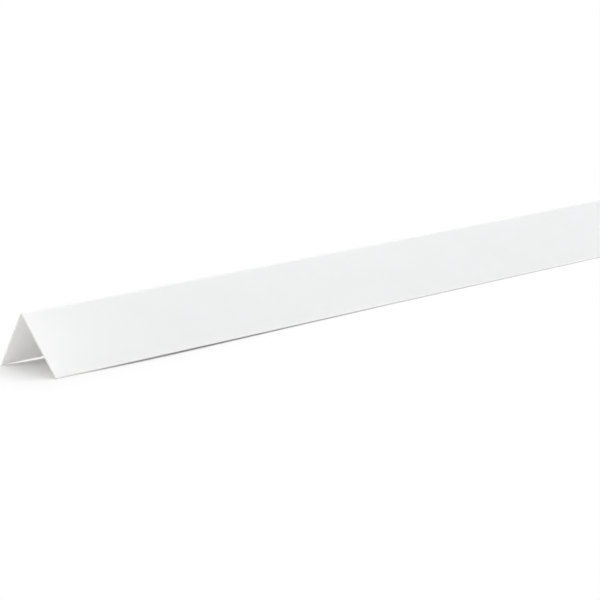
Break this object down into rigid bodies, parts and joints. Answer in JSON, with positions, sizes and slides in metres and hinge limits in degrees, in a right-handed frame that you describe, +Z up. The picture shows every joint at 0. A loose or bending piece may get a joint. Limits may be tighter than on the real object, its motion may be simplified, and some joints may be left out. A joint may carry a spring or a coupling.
{
  "type": "corner guard moulding",
  "caption": "Long white plastic angle moulding with equal legs and a rounded nose, glued over an outside wall corner to cover and protect its edge.",
  "frame": {"origin": "on the floor, under the middle of the length, midway between the tips of the two legs", "axes": "+X along the length, +Z up through the nose of the corner, legs spread evenly to -Y and +Y"},
  "size_m": [1, 0.0562, 0.0281],
  "materials": {
    "white_pvc": "satin, smooth as extruded"
  },
  "bodies": {
    "root": {"corner_guard": "white_pvc"}
  },
  "joints": []
}
